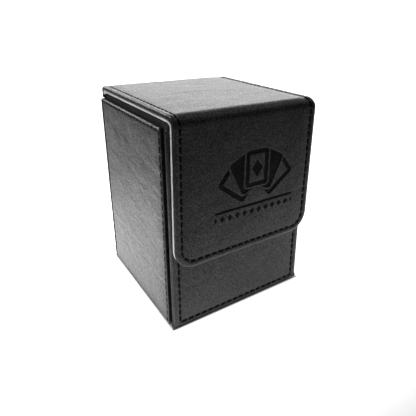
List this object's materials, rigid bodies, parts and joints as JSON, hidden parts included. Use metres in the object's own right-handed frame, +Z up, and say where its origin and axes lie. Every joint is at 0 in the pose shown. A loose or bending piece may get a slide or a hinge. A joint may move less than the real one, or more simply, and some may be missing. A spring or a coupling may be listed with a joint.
{
  "type": "card deck box",
  "caption": "Flip-lid deck box for sleeved cards: lined board box with stitched leatherette panels, a soft hinge, a lid and a magnetic front flap.",
  "frame": {"origin": "centre of the underside of the closed box's bounding box", "axes": "+Z up, -Y out of the front where the flap closes, +X to the right seen from the front"},
  "size_m": [0.075, 0.0786, 0.1],
  "materials": {
    "leatherette": "satin black, fine grain",
    "wrap_cloth": "matte black",
    "microfibre": "light grey suede-like nap",
    "greyboard": "raw board",
    "thread": "waxed black sewing thread",
    "magnet": "nickel plated"
  },
  "bodies": {
    "box": {"floor_board": "greyboard", "front_wall_board": "greyboard", "back_wall_board": "greyboard", "left_wall_board": "greyboard", "right_wall_board": "greyboard", "wall_wrap": "wrap_cloth", "rim_binding": "microfibre", "wall_lining": "microfibre", "floor_lining": "microfibre", "left_side_leather": "leatherette", "left_side_thread": "thread", "left_side_board": "greyboard", "right_side_leather": "leatherette", "right_side_thread": "thread", "right_side_board": "greyboard", "front_leather": "leatherette", "front_thread": "thread", "front_board": "greyboard", "front_magnet_left": "magnet", "front_magnet_right": "magnet", "back_and_base_leather": "leatherette", "back_thread": "thread", "base_board": "greyboard", "back_board": "greyboard"},
    "hinge_strip": {"hinge_leather": "leatherette", "hinge_lining": "microfibre"},
    "lid": {"lid_leather": "leatherette", "lid_thread_left": "thread", "lid_thread_right": "thread", "lid_board": "greyboard", "lid_lining": "microfibre"},
    "flap": {"flap_leather": "leatherette", "flap_thread": "thread", "flap_board": "greyboard", "flap_magnet_left": "magnet", "flap_magnet_right": "magnet", "flap_lining": "microfibre"}
  },
  "joints": [
    {"name": "back_crease", "type": "hinge", "parent": "box", "child": "hinge_strip", "pos_m": [0, 0.0393, 0.0965], "axis": [-1, 0, 0], "range_deg": [0, 105]},
    {"name": "lid_crease", "type": "hinge", "parent": "hinge_strip", "child": "lid", "pos_m": [0, 0.0358, 0.1], "axis": [-1, 0, 0], "range_deg": [0, 105]},
    {"name": "flap_bend", "type": "hinge", "parent": "lid", "child": "flap", "pos_m": [0, -0.03798, 0.09868], "axis": [-1, 0, 0], "range_deg": [0, 90]}
  ],
  "couplings": [
    {"joint": "back_crease", "follows": "lid_crease", "ratio": 1}
  ]
}
